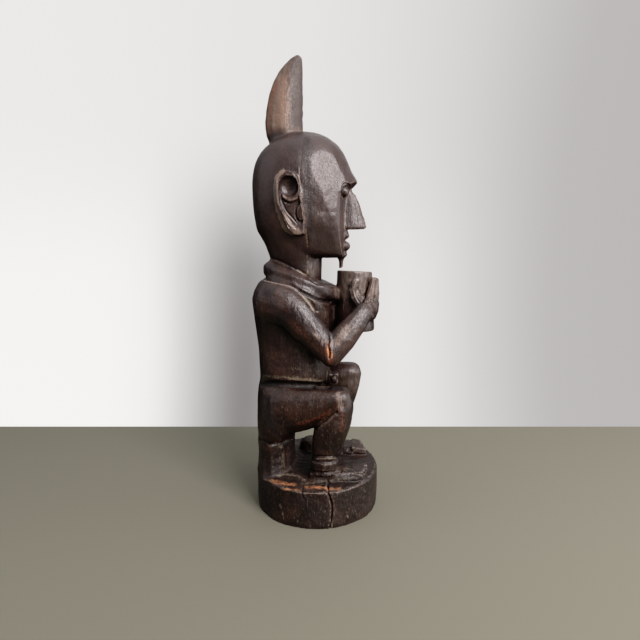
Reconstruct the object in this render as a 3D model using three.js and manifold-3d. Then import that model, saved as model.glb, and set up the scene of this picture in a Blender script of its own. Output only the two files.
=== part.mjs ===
// Seated wooden figure with a tall horn on its head, carved with its base, stool and cup from one round log.
// Millimetres, +Z up. The origin is on the underside, in the middle of the plan, and the figure faces -Y.
// The carving is worked out facing +X, with its left side at +Y, and the group is turned at the end.
import * as THREE from "three";
import { mergeVertices } from "three/addons/utils/BufferGeometryUtils.js";
import Module from "manifold-3d";

// Driving dimensions
const HEIGHT = 500;
const BASE_RADIUS = 70.5;
const BASE_MIDDLE = 0.9;
const BASE_HEIGHT = 44;
const BASE_SLOPE = 0.06;
const STOOL_TOP = 80;
const THIGH_HALF = 50;
const BELLY_LINE = 149;
const SHOULDER_TOP = 262;
const CHIN = 283.5;
const BROW = 367;
const CROWN = 419.4;
const HEAD_HALF = 39.5;
const BACK = -69;
const CUP_FOOT = 201.5;
const CUP_RIM = 269;
const CUP_MIDDLE = 43.4;
const CUP_RIM_RADIUS = 19.4;
const CUP_FOOT_RADIUS = 22.8;
const CUP_WALL = 4.5;
const CUP_SLOPE = 0.045;
const RIGHT = -1;
const LEFT = 1;

const radians = THREE.MathUtils.degToRad;
const ramp = THREE.MathUtils.mapLinear;

const wasm = await Module();
wasm.setup();

// A closed geometry as a solid that can be joined and cut
function solid(geometry) {
  const bare = new THREE.BufferGeometry();
  bare.setAttribute("position", geometry.getAttribute("position").clone());
  bare.setIndex(geometry.getIndex());
  const merged = mergeVertices(bare, 1e-4);
  return new wasm.Manifold(
    new wasm.Mesh({
      numProp: 3,
      vertProperties: merged.getAttribute("position").array,
      triVerts: new Uint32Array(merged.getIndex().array),
    }),
  );
}

// The geometry of a solid
function geometryOf(body) {
  const mesh = body.getMesh();
  const geometry = new THREE.BufferGeometry();
  geometry.setAttribute("position", new THREE.BufferAttribute(mesh.vertProperties, 3));
  geometry.setIndex(new THREE.BufferAttribute(mesh.triVerts, 1));
  geometry.computeVertexNormals();
  return geometry;
}

const joined = (bodies) => bodies.reduce((sum, body) => sum.add(body));

// Rows of numbers blended smoothly along their first number, at steps + 1 even places from end to end
function blended(rows, steps) {
  const size = rows[0].length;
  const places = rows.map((row) => row[0]);
  const spline = new THREE.CubicInterpolant(places, rows.flat(), size, new Float32Array(size));
  return Array.from({ length: steps + 1 }, (_, i) =>
    Array.from(spline.evaluate(THREE.MathUtils.lerp(places[0], places.at(-1), i / steps))),
  );
}

// A closed skin over rings of points, each ring anticlockwise about the way that the rings run
function skin(rings) {
  const sides = rings[0].length;
  const points = rings.flat();
  const faces = [];
  for (let r = 0; r + 1 < rings.length; r++) {
    for (let i = 0; i < sides; i++) {
      const a = r * sides + i;
      const b = r * sides + ((i + 1) % sides);
      faces.push(a, b, b + sides, a, b + sides, a + sides);
    }
  }
  const close = (ring, flip) => {
    const middle = points.length;
    points.push(
      rings[ring].reduce((sum, p) => sum.add(p), new THREE.Vector3()).divideScalar(sides),
    );
    for (let i = 0; i < sides; i++) {
      const a = ring * sides + i;
      const b = ring * sides + ((i + 1) % sides);
      faces.push(...(flip ? [middle, b, a] : [middle, a, b]));
    }
  };
  close(0, true);
  close(rings.length - 1, false);
  return new THREE.BufferGeometry().setFromPoints(points).setIndex(faces);
}

// One coordinate of a superellipse: a power of 2 is round, more is squarer and less is more pointed
const bulge = (value, power) => Math.sign(value) * Math.abs(value) ** (2 / power);

// A level ring of [height, back, front, half width, widest place, power in front, power behind, middle line]
function section([z, back, front, half, widest, frontPower = 2, backPower = 2, y = 0], sides) {
  return Array.from({ length: sides }, (_, i) => {
    const angle = (2 * Math.PI * i) / sides;
    const ahead = Math.cos(angle) > 0;
    const power = ahead ? frontPower : backPower;
    const reach = ahead ? front - widest : widest - back;
    return new THREE.Vector3(
      widest + reach * bulge(Math.cos(angle), power),
      y + half * bulge(Math.sin(angle), power),
      z,
    );
  });
}

// A solid of level rings, from the lowest up
const column = (levels, sides) => solid(skin(levels.map((level) => section(level, sides))));

// A limb through stations of [place, x, y, z, half size in the X-Z plane, half size sideways]
// Its ends are flat where they sink into another form, and round elsewhere, in one ring or two.
const ROUND = [0.5, 0.87];
const ROUND_SMALL = [0.72];
const FLAT = [];

function limb(stations, sides, steps, { power = 2, start = ROUND, end = ROUND } = {}) {
  const rows = blended(stations, steps);
  const centres = rows.map(([, x, y, z]) => new THREE.Vector3(x, y, z));
  const last = rows.length - 1;
  const ring = (i, shift = 0, share = 1) => {
    const along = centres[Math.min(i + 1, last)].clone().sub(centres[Math.max(i - 1, 0)]).normalize();
    const across = new THREE.Vector3(0, 1, 0).cross(along).normalize();
    const beside = along.clone().cross(across);
    return Array.from({ length: sides }, (_, k) => {
      const angle = (2 * Math.PI * k) / sides;
      return centres[i]
        .clone()
        .addScaledVector(along, shift)
        .addScaledVector(across, share * rows[i][4] * bulge(Math.cos(angle), power))
        .addScaledVector(beside, share * rows[i][5] * bulge(Math.sin(angle), power));
    });
  };
  const cap = (i, way, shares) =>
    shares.map((share) => {
      const reach = Math.min(rows[i][4], rows[i][5]);
      return ring(i, way * reach * Math.sqrt(1 - share * share), share);
    });
  return solid(
    skin([...cap(0, -1, start), ...rows.map((_, i) => ring(i)), ...cap(last, 1, end).reverse()]),
  );
}

// A ball or an egg with its poles up and down
function egg(x, y, z, alongX, alongY, alongZ, around = 10, high = 6) {
  const ball = new THREE.SphereGeometry(1, around, high);
  ball.rotateX(Math.PI / 2);
  ball.scale(alongX, alongY, alongZ);
  ball.translate(x, y, z);
  return solid(ball);
}

// A level hoop: centre(angle) is its middle line, and its section has the two half sizes and a power
function hoop(centre, across, high, around, sides, power = 2) {
  const points = [];
  const faces = [];
  const wrap = (j) => j % (around * sides);
  for (let i = 0; i < around; i++) {
    const angle = (2 * Math.PI * i) / around;
    const outward = new THREE.Vector3(Math.cos(angle), Math.sin(angle), 0);
    for (let k = 0; k < sides; k++) {
      const turn = (2 * Math.PI * (k + 0.5)) / sides;
      const p = centre(angle).addScaledVector(outward, across * bulge(Math.cos(turn), power));
      p.z += high * bulge(Math.sin(turn), power);
      points.push(p);
      const a = i * sides + k;
      const b = i * sides + ((k + 1) % sides);
      faces.push(a, wrap(a + sides), wrap(b + sides), a, wrap(b + sides), b);
    }
  }
  return solid(new THREE.BufferGeometry().setFromPoints(points).setIndex(faces));
}

// The round block at the bottom, with a worn top edge and a top that rises a little to the left
function base() {
  const ring = (z, radius) =>
    section([z, BASE_MIDDLE - radius, BASE_MIDDLE + radius, radius, BASE_MIDDLE], 32).map((p) =>
      p.setZ(p.z + (BASE_SLOPE * p.y * z) / BASE_HEIGHT),
    );
  return solid(
    skin([
      ring(0, BASE_RADIUS - 0.6),
      ring(1.5, BASE_RADIUS),
      ring(BASE_HEIGHT - 3, BASE_RADIUS),
      ring(BASE_HEIGHT, BASE_RADIUS - 1.8),
    ]),
  );
}

// The low stool at the back of the base: a wide faceted block, a little waisted and spreading at its foot
function stool() {
  const MIDDLE = -46.5;
  const DEPTH = 21.5;
  const HALF = 41;
  const ring = (z, share) => {
    const deep = DEPTH * share;
    return [z, MIDDLE - deep, MIDDLE + deep, HALF * share, MIDDLE, 1.9, 2.2];
  };
  return column(
    [
      ring(BASE_HEIGHT - 6, 1.08),
      ring(BASE_HEIGHT + 4, 1),
      ring((BASE_HEIGHT + STOOL_TOP) / 2, 0.96),
      ring(STOOL_TOP + 1, 1),
    ],
    12,
  );
}

// Hips and buttocks, sitting on the stool
const hips = () =>
  column(
    [
      [STOOL_TOP, BACK + 3, -26, THIGH_HALF - 9, -44, 2.2, 2.3],
      [84, BACK + 2, -21, THIGH_HALF - 5, -43, 2.2, 2.3],
      [92, BACK + 1.6, -15, THIGH_HALF - 2, -42, 2.2, 2.3],
      [106, BACK + 1.5, -5, THIGH_HALF - 0.5, -40, 2.2, 2.3],
      [122, BACK + 1.4, 6, THIGH_HALF - 3, -36, 2.2, 2.3],
      [136, BACK + 2, 9, THIGH_HALF - 8, -34, 2.2, 2.3],
      [BELLY_LINE - 2, BACK + 4, 8, THIGH_HALF - 14, -32, 2.2, 2.3],
    ],
    20,
  );

// Trunk from the overhanging belly up to the round of the shoulders
const trunk = () =>
  column(
    [
      [BELLY_LINE - 8, BACK + 6, 9, 31, -28, 2.5, 2.3],
      [BELLY_LINE - 4, BACK + 5, 13.5, 38, -28, 2.5, 2.3],
      [BELLY_LINE + 1, BACK + 4.5, 16, 42, -28, 2.5, 2.3],
      [182, BACK + 3, 17.5, 42, -28, 2.5, 2.3],
      [202, BACK + 0.8, 18, 43.5, -28, 2.5, 2.4],
      [222, BACK - 1.2, 19, 48, -30, 2.4, 2.5],
      [237, BACK - 2.2, 18, 51, -32, 2.3, 2.6],
      [248, BACK + 0.4, 13, 49, -34, 2.2, 2.5],
      [256, BACK + 5, 4, 43, -36, 2.1, 2.3],
      [SHOULDER_TOP, BACK + 13, -10, 32, -38, 2, 2],
    ],
    22,
  );

// The knot that stands out below the belly, with a round boss on each side
function knot() {
  const HALF = 7;
  const MIDDLE = 20.7;
  const block = column(
    [
      [138.6, 4, 24.8, HALF - 1, 16, 5, 2],
      [140.6, 4, 26.4, HALF, 16, 5, 2],
      [149.8, 4, 26.4, HALF, 16, 5, 2],
      [151.6, 4, 24.8, HALF - 1, 16, 5, 2],
    ],
    8,
  );
  const boss = (side) => egg(MIDDLE, side * HALF, 145, 4.2, 2.2, 4.2, 6, 4);
  return joined([block, boss(RIGHT), boss(LEFT)]);
}

// The wood left standing between the chest and the back of the cup
const bridge = () =>
  column(
    [
      [CUP_FOOT + 4, 8, 21, 7, 12],
      [CUP_FOOT + 12, 8, 26, 9, 12],
      [243, 8, 26, 9, 12],
    ],
    10,
  );

// Neck, which runs straight into the back of the head
const neck = () =>
  column(
    [
      [244, -46, 6, 21, -20],
      [266, -49, 6.2, 21.5, -20],
      [277, -51, 6.4, 22, -20],
      [CHIN + 2, -53.5, 6.6, 24.5, -20],
      [296, -57.5, 6, 27.6, -22],
      [306, -61.4, 5, 31, -24],
    ],
    18,
  );

// Thick rolled collar, high at the nape and low on the chest, where it meets the cup
function collar() {
  const MIDDLE = -15.8;
  const LONG = 34.4;
  const WIDE = 29.5;
  const HIGH = 256;
  const DROP = 14.2;
  return hoop(
    (angle) =>
      new THREE.Vector3(
        MIDDLE + LONG * Math.cos(angle),
        WIDE * Math.sin(angle),
        HIGH - DROP * Math.cos(angle),
      ),
    11,
    11.4,
    22,
    7,
    2,
  );
}

// Skull and cheeks as one egg, before the face is cut
const skull = () =>
  column(
    [
      [CHIN, -12, 40, 18, -3, 2.6, 2],
      [CHIN + 2.5, -22, 42, 22.5, -7, 2.6, 2],
      [292, -45, 43, 26.5, -12, 2.5, 2],
      [301, -59.6, 44, 30.5, -15, 2.4, 2],
      [314, -67.2, 46, 34.5, -18, 2.3, 2.05],
      [330, -70, 48.5, 37.5, -20, 2.2, 2.05],
      [346, -71.2, 49, HEAD_HALF - 0.3, -21, 2.1, 2.1],
      [359, -71.5, 47.4, HEAD_HALF, -21, 2, 2.1],
      [BROW + 1, -71.3, 44.6, HEAD_HALF - 0.3, -21, 1.95, 2.1],
      [376, -70.3, 39.9, HEAD_HALF - 1.4, -21, 1.95, 2.1],
      [386, -67.8, 35.4, 36, -20.5, 2, 2.1],
      [396, -62.6, 30.6, 32.4, -19.5, 2, 2.1],
      [404.5, -54.5, 24.6, 27.8, -18.5, 2, 2.1],
      [411.5, -44.8, 15.6, 21.2, -17, 2, 2],
      [416.4, -35, 6, 14, -15.5, 2, 2],
      [CROWN, -22, -8, 5, -14, 2, 2],
    ],
    26,
  );

// What the face cut leaves: a blunt vertical front below the brow, and everything above it
const faceLimit = () =>
  column(
    [
      [CHIN - 10, -90, 31.5, 41, -14, 2.9, 2],
      [349, -90, 32, 41, -14, 2.8, 2],
      [357, -90, 36.5, 42.5, -14, 2.4, 2],
      [BROW - 2, -90, 46, 50, -14, 2.1, 2],
      [BROW + 1, -90, 60, 60, -14, 2, 2],
      [CROWN + 10, -90, 60, 60, -14, 2, 2],
    ],
    24,
  );

// Nose: an upright fin with a slightly arched ridge, a rounded tip and a level underside
const nose = () =>
  column(
    [
      [314.6, 24, 54.6, 5.6, 31, 1.6, 4],
      [316.8, 24, 56.2, 6, 31, 1.6, 4],
      [326, 24, 54, 5.2, 31, 1.6, 4],
      [338, 24, 48.7, 4, 31, 1.7, 4],
      [350, 24, 42.2, 3.2, 31, 1.8, 4],
      [362, 24, 38, 3, 31, 2, 4],
    ],
    12,
  );

// Eyes, lips, chin and the thin beard peg that hangs above the cup
const features = () => [
  egg(32.4, RIGHT * 14, 353, 4.6, 6.4, 5.4),
  egg(32.4, LEFT * 14, 353, 4.6, 6.4, 5.4),
  egg(30.6, 0, 309.4, 5.9, 9, 6, 8, 6),
  egg(30.6, 0, 296, 7.6, 10, 6, 10, 8),
  egg(29.5, 0, 287, 5.6, 8, 4.4, 8, 6),
  column(
    [
      [271.7, 26, 30.4, 2.2, 28.2],
      [279.5, 25.6, 30.6, 2.5, 28.2],
      [283, 23.8, 32, 4, 28.2],
      [288, 20, 33, 6, 28.2],
    ],
    8,
  ),
];

// Horn: a tusk on the back of the crown, straight in front and arched behind, with a ridge down each side
const horn = () =>
  column(
    [
      [398, -49, -14.8, 14, -34, 1.6, 1.6],
      [416, -55.4, -14.8, 14.5, -34.5, 1.6, 1.6],
      [432, -56.3, -14.8, 14, -34, 1.6, 1.6],
      [447, -54.6, -14.8, 13, -33, 1.6, 1.6],
      [461, -51.4, -14.7, 11.5, -31.5, 1.6, 1.6],
      [474, -46.5, -14.6, 9.6, -29.5, 1.6, 1.6],
      [484, -40.6, -14.6, 7.6, -27.2, 1.6, 1.6],
      [491.5, -33.4, -14.8, 5.6, -24.8, 1.7, 1.7],
      [497, -27, -15.4, 3.8, -22, 1.8, 1.8],
      [HEIGHT, -21.8, -18.6, 1.6, -20.4, 2, 2],
    ],
    14,
  );

// Ear: a tall plate in relief with a raised rim, a round hollow, a lip under it and a flap in front
function ear(side) {
  const OUTER = HEAD_HALF + 4;
  const SUNK = 2;
  const ROOT = 26;
  const LEAN = 0.11;
  const HOLLOW = { x: -25.8, z: 355.4, radius: 10, depth: 8 };
  const OUTLINE = [
    [-12.2, 341],
    [-14, 356],
    [-18.5, 366.5],
    [-27.6, 371],
    [-35.6, 366],
    [-38.4, 354],
    [-36.8, 338],
    [-31, 323],
    [-24.4, 309.4],
    [-17.5, 306.2],
    [-9.4, 309.6],
    [-10.4, 325],
  ];
  const MIDDLE = new THREE.Vector2(-24, 342);
  const outline = (inset) => {
    const points = OUTLINE.map(([x, z]) => new THREE.Vector2(x, z)).map((p) =>
      p.addScaledVector(MIDDLE.clone().sub(p).normalize(), inset),
    );
    return new THREE.Shape(new THREE.SplineCurve([...points, points[0]]).getPoints(14).slice(0, -1));
  };
  const outerAt = (z) => OUTER + LEAN * Math.min(0, z - HOLLOW.z);
  const plate = (inset, inner, outer) => {
    const depth = outer - inner;
    const geometry = new THREE.ExtrudeGeometry(outline(inset), { depth, bevelEnabled: false });
    geometry.rotateX(Math.PI / 2);
    geometry.translate(0, side === LEFT ? outer : -inner, 0);
    const position = geometry.getAttribute("position");
    for (let i = 0; i < position.count; i++) {
      position.setY(i, position.getY(i) + side * (outerAt(position.getZ(i)) - OUTER));
    }
    return solid(geometry);
  };
  const ball = (HOLLOW.radius ** 2 + HOLLOW.depth ** 2) / (2 * HOLLOW.depth);
  const hollow = egg(HOLLOW.x, side * (OUTER + ball - HOLLOW.depth), HOLLOW.z, ball, ball, ball, 12, 6);
  const LIP_RADIUS = HOLLOW.radius + 2;
  const lip = limb(
    [195, 230, 265, 300, 335].map((turn) => {
      const z = HOLLOW.z + LIP_RADIUS * Math.sin(radians(turn));
      const thick = 2.1 * Math.sin(radians(ramp(turn, 185, 345, 0, 180)));
      return [turn, HOLLOW.x + LIP_RADIUS * Math.cos(radians(turn)), side * (outerAt(z) - 1), z, thick, 1.8];
    }),
    5,
    5,
    { start: FLAT, end: FLAT },
  );
  const flap = egg(-13.4, side * (outerAt(328) - 1.8), 328, 3.4, 2.6, 8.5, 6, 5);
  const rimmed = plate(0, ROOT, OUTER).subtract(plate(2.4, OUTER - SUNK, OUTER + 4));
  return joined([rimmed, lip, flap]).subtract(hollow);
}

// Arm: upper arm sloping down from the shoulder to the elbow, and forearm rising to the front of the cup
function arm(side) {
  const upper = limb(
    [
      [0, -47, side * 37, 236, 23, 17],
      [1, -34, side * 41, 232.5, 22.3, 16.5],
      [2, -20.5, side * 43, 225, 20.6, 15.7],
      [3, -6.5, side * 44.3, 209.8, 18.6, 15],
      [4, 6.5, side * 45, 196, 16, 13.8],
      [5, 17, side * 45, 183, 14, 12.5],
    ],
    12,
    7,
    { end: FLAT },
  );
  const fore = limb(
    [
      [0, 18.4, side * 45, 180.2, 13.6, 12.6],
      [1, 28.4, side * 42.5, 192.8, 14.4, 11.6],
      [2, 38.8, side * 38.5, 205.3, 13.4, 10],
      [3, 48, side * 33.5, 217, 11.8, 8.5],
      [4, 55, side * 28.5, 226.5, 10, 7],
    ],
    12,
    3,
    { end: ROUND_SMALL },
  );
  return joined([upper, fore]);
}

// Cup held at the chest, widening towards its foot, hollow, with an open rim that falls a little forward
const cupRadius = (z) => ramp(z, CUP_FOOT, CUP_RIM, CUP_FOOT_RADIUS, CUP_RIM_RADIUS);

function cup() {
  const ring = (z, radius) => [z, CUP_MIDDLE - radius, CUP_MIDDLE + radius, radius, CUP_MIDDLE];
  const fall = (x) => CUP_SLOPE * (x - (CUP_MIDDLE - CUP_RIM_RADIUS));
  const outside = solid(
    skin([
      section(ring(CUP_FOOT, CUP_FOOT_RADIUS - 1), 20),
      section(ring(CUP_FOOT + 1.5, CUP_FOOT_RADIUS), 20),
      section(ring(CUP_RIM, CUP_RIM_RADIUS), 20).map((p) => p.setZ(p.z - fall(p.x))),
    ]),
  );
  const inside = column(
    [
      ring(CUP_FOOT + 11, CUP_RIM_RADIUS - CUP_WALL - 2.5),
      ring(CUP_FOOT + 14, CUP_RIM_RADIUS - CUP_WALL),
      ring(CUP_RIM + 4, CUP_RIM_RADIUS - CUP_WALL),
    ],
    16,
  );
  return { outside, inside };
}

// A point off the cup's wall, at an angle from straight ahead
function offCup(side, degrees, z, off) {
  const angle = radians(degrees);
  const reach = cupRadius(z) + off;
  return [CUP_MIDDLE + reach * Math.cos(angle), side * reach * Math.sin(angle), z];
}

// Hand: a palm low on the front of the cup, four fingers leaning forward, and an upright thumb behind them
function hand(side) {
  const FINGERS = 4;
  const fingers = Array.from({ length: FINGERS }, (_, i) => {
    const tip = 38 - 10.6 * i;
    const root = 60 - 14 * i;
    return limb(
      [
        [0, ...offCup(side, root, 233 - 2 * i, 3.4), 3.6, 2.6],
        [1, ...offCup(side, (root + tip) / 2, 247 - i, 4.9), 2.9, 3],
        [2, ...offCup(side, tip, 259.6 - 0.3 * i, 5.2), 2.3, 2.6],
      ],
      5,
      2,
      { start: FLAT, end: ROUND_SMALL },
    );
  });
  const palm = limb(
    [
      [0, ...offCup(side, 72, 222, 7.5), 10, 6.5],
      [1, ...offCup(side, 52, 226, 4.5), 11.5, 6],
      [2, ...offCup(side, 30, 225.2, 2.6), 12.6, 5],
      [3, ...offCup(side, 7, 224.7, 1.6), 12.5, 4.6],
    ],
    8,
    3,
    { start: ROUND_SMALL, end: FLAT },
  );
  const thumb = limb(
    [
      [0, ...offCup(side, 78, 231, 4), 4.6, 4.4],
      [1, ...offCup(side, 95, 243.5, 3), 3.9, 3.6],
      [2, ...offCup(side, 92, 256.5, 2.4), 3.7, 3.2],
    ],
    6,
    3,
    { start: FLAT, end: ROUND_SMALL },
  );
  return joined([...fingers, palm, thumb]);
}

// Leg: level thigh, knee, calf swelling backwards, a ring at the ankle, and a long flat foot with toes
function leg(side, pose) {
  const { kneeForward, kneeRise, ankleForward, heelBack, heelRise, footRise } = pose;
  const { toeIn, toeForward, toeSlant } = pose;
  const KNEE_OUT = 34;
  const ANKLE_OUT = 37;
  const thigh = limb(
    [
      [0, -42, side * 27.5, 114.5, 29.5, 22],
      [1, -28, side * 30, 116, 28.2, 20.5],
      [2, -11, side * 32.5, 118.6 + 0.2 * kneeRise, 25.6, 18.5],
      [3, 7 + 0.4 * kneeForward, side * 34, 123.8 + 0.6 * kneeRise, 20.6, 16.5],
      [4, 21 + kneeForward, side * KNEE_OUT, 129 + kneeRise, 15.4, 15.2],
      [5, 30 + kneeForward, side * KNEE_OUT, 130.4 + kneeRise, 13.4, 14.4],
    ],
    12,
    5,
    { start: FLAT },
  );
  const LOW = 66;
  const high = 134 + kneeRise;
  const out = (z) => side * ramp(z, LOW, high, ANKLE_OUT, KNEE_OUT);
  const level = (height, share, back, front, half) => {
    const z = height + kneeRise * share;
    const shift = ramp(z, LOW, high, ankleForward, kneeForward);
    return [z, back + shift, front + shift, half, (back + front) / 2 + shift, 2.2, 2.2, out(z)];
  };
  const shin = column(
    [
      level(48, 0, -1.5, 25, 12),
      level(66, 0, -0.8, 26, 12.6),
      level(79, 0.2, -1.4, 32.8, 14.8),
      level(92, 0.35, -0.6, 38.2, 16.6),
      level(104, 0.5, 4, 41.8, 16.8),
      level(119, 0.8, 14, 43.9, 15.6),
      level(130, 1, 19, 43.9, 13),
      level(139, 1, 24, 39, 9),
    ],
    12,
  );
  const ANKLET = 58.4;
  const anklet = hoop(
    (angle) =>
      new THREE.Vector3(
        12.4 + ankleForward + 12.2 * Math.cos(angle),
        out(ANKLET) + 11.2 * Math.sin(angle),
        ANKLET,
      ),
    3.6,
    6.6,
    12,
    5,
    2.4,
  );
  const heel = -2.5 + heelBack;
  const toe = 45 + toeForward;
  const across = (x) => side * (ANKLE_OUT + 1 - ramp(x, heel, toe, 0, toeIn));
  const footLine = [0.14, 0.4, 0.7, 1];
  const footHigh = [10 + heelRise, 10.5 + 0.5 * heelRise, 9, 8];
  const footHalf = [11.5 + heelRise, 13 + 0.4 * heelRise, 15.5, 17.5];
  const foot = limb(
    footLine.map((share, i) => {
      const x = ramp(share, 0, 1, heel, toe);
      return [i, x, across(x), 43.5 + 0.7 * footRise, footHigh[i], footHalf[i]];
    }),
    8,
    3,
    { power: 2.4, end: FLAT },
  );
  const TOE_STEP = 6.3;
  const toes = [-2, -1, 0, 1, 2].map((i) => {
    const y = across(toe) + TOE_STEP * i;
    const reach = 13 - toeSlant * side * i;
    const high = 45 + footRise;
    return limb(
      [
        [0, toe - 3, y, high, 5.8, 3.9],
        [1, toe + reach - 3.4, y, high - 0.6, 5, 3.4],
      ],
      5,
      1,
      { start: FLAT, end: ROUND_SMALL },
    );
  });
  return joined([thigh, shin, anklet, foot, ...toes]);
}

const RIGHT_LEG = {
  kneeForward: 0,
  kneeRise: 0,
  ankleForward: 0,
  heelBack: 0,
  heelRise: 0,
  toeIn: 11,
  toeForward: 0,
  toeSlant: 1.4,
  footRise: 0,
};
const LEFT_LEG = {
  kneeForward: 9.2,
  kneeRise: 14,
  ankleForward: -3,
  heelBack: -18,
  heelRise: 4,
  toeIn: 4,
  toeForward: -1,
  toeSlant: 1.4,
  footRise: 5,
};

const vessel = cup();
const figure = joined([
  base(),
  stool(),
  hips(),
  trunk(),
  knot(),
  bridge(),
  neck(),
  collar(),
  skull().intersect(faceLimit()),
  nose(),
  ...features(),
  horn(),
  ear(RIGHT),
  ear(LEFT),
  arm(RIGHT),
  arm(LEFT),
  leg(RIGHT, RIGHT_LEG),
  leg(LEFT, LEFT_LEG),
  vessel.outside,
  hand(RIGHT),
  hand(LEFT),
]).subtract(vessel.inside);

const wood = new THREE.MeshStandardMaterial({ color: 0x2b1d17, roughness: 0.45, metalness: 0 });
const carving = new THREE.Mesh(geometryOf(figure), wood);
carving.name = "horned_figure";

const part = new THREE.Group();
part.add(carving);
part.rotation.z = -Math.PI / 2;
export default part;
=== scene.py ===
# Looks of the seated horned figure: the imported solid, carved finer and finished as dark, handled wood.
import math

import bmesh
import bpy
import numpy as np
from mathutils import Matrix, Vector, kdtree


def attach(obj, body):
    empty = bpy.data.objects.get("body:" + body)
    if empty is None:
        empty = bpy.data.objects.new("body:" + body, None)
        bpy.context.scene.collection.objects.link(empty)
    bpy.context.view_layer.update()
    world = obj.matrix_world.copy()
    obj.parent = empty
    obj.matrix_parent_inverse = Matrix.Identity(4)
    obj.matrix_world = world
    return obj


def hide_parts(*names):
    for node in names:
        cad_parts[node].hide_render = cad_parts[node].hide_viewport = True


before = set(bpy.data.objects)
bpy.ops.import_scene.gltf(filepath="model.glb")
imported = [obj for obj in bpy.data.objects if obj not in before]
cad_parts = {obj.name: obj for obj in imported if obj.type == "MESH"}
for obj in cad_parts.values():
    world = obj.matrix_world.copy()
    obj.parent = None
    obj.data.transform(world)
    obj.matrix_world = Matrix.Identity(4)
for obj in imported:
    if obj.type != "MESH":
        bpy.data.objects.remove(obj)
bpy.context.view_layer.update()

# Shape work is in millimetres along three directions of the figure: forward, to its right and up
MM = 0.001
VOXEL = 0.9
FACES = 195000
BLADE_MARKS = 1500

# Places on the figure
BASE_TOP = 44
BASE_RADIUS = 70.2
BASE_MIDDLE = 0.9
SEAT = 84
NECK_FOOT = 262
HANDS = (198, 274)
HORN_FOOT = 420
EAR_PLANE = 43.5
EAR_LEAN = 0.11
CONCHA = (-24.6, 354.4)
CONCHA_RADIUS = 10
EAR_OUTLINE = [
    (-12.1, 347), (-13.2, 356.5), (-15.7, 364.9), (-19.4, 368.6), (-24.9, 369.9), (-29.9, 369.1),
    (-33.6, 366.4), (-36.6, 359), (-37.5, 349), (-36.4, 338.9), (-34.6, 332.8), (-32.1, 326.7),
    (-29, 320.6), (-25.3, 313.8), (-22.2, 307.7), (-18.5, 305.2), (-11, 305.8), (-8.2, 308.2), (-9, 326.4),
]
EAR_GROOVES = [
    [(-33.2, 348), (-31.4, 338.8), (-27.1, 329.7), (-20.9, 322.9), (-15.9, 316.8)],
    [(-35, 345), (-33.9, 338.8), (-30.8, 330.3), (-25.3, 323), (-20, 317)],
]
TRAGUS = (-12.5, 328.3)
TRAGUS_HALF = (4.2, 7.6)
HEAD_CRACK = [(-10.5, 401), (-12.3, 381), (-13, 362), (-12.4, 346), (-9.4, 332), (-7.6, 312), (-6.4, 294)]
ELBOW_CRACK = [(17.6, 206), (18.9, 197.6), (18, 191), (19.6, 185), (18.8, 179)]
BASE_CRACK = [(17, 42), (19.6, 37), (22.7, 26), (22.7, 15), (20.7, 0)]
BASE_SIDE_CRACK = [(-8.4, 40), (-7.4, 33)]
# Middle of the painted highlight on the far knee
FAR_KNEE_SHEEN = (40, -34, 136)

# The camera that fits the photograph, which shows the figure's right side and is 640 pixels wide and high
CAMERA_PLACE = np.array([49, 511.2, 267.6])
CAMERA_AT = Vector((-CAMERA_PLACE[1] * MM, -CAMERA_PLACE[0] * MM, CAMERA_PLACE[2] * MM))
CAMERA_TURN = math.radians(5)
CAMERA_DOWN = math.radians(6.14)
FOCAL = 450
MIDDLE = 320
AHEAD = Vector((
    math.cos(CAMERA_TURN) * math.cos(CAMERA_DOWN),
    math.sin(CAMERA_TURN) * math.cos(CAMERA_DOWN),
    -math.sin(CAMERA_DOWN),
))
ACROSS = AHEAD.cross(Vector((0, 0, 1))).normalized()
UPRIGHT = ACROSS.cross(AHEAD)

# Lines and places in the photograph's pixels, like those of CUTS and MARKS, which use the lines
GROIN = [(262, 383.6), (285, 384.6), (300, 385.4), (315, 386.2), (328, 387)]
UNDER_COLLAR = [
    (264, 278.6), (277, 281.4), (290, 284.4),
    (298, 288.4), (306, 293.3), (315.4, 298.3), (326, 301.4), (336, 302.8),
]
SHOULDER_EDGE = [
    (264, 280.9), (277, 283.8), (290, 286.8), (298, 291.2), (303.8, 297.4), (309.6, 304.4), (314.4, 312.4),
]
KNOT = (333.9, 379.2)
EYE = (346, 191)
EYE_HALF = (4.4, 7)

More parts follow.
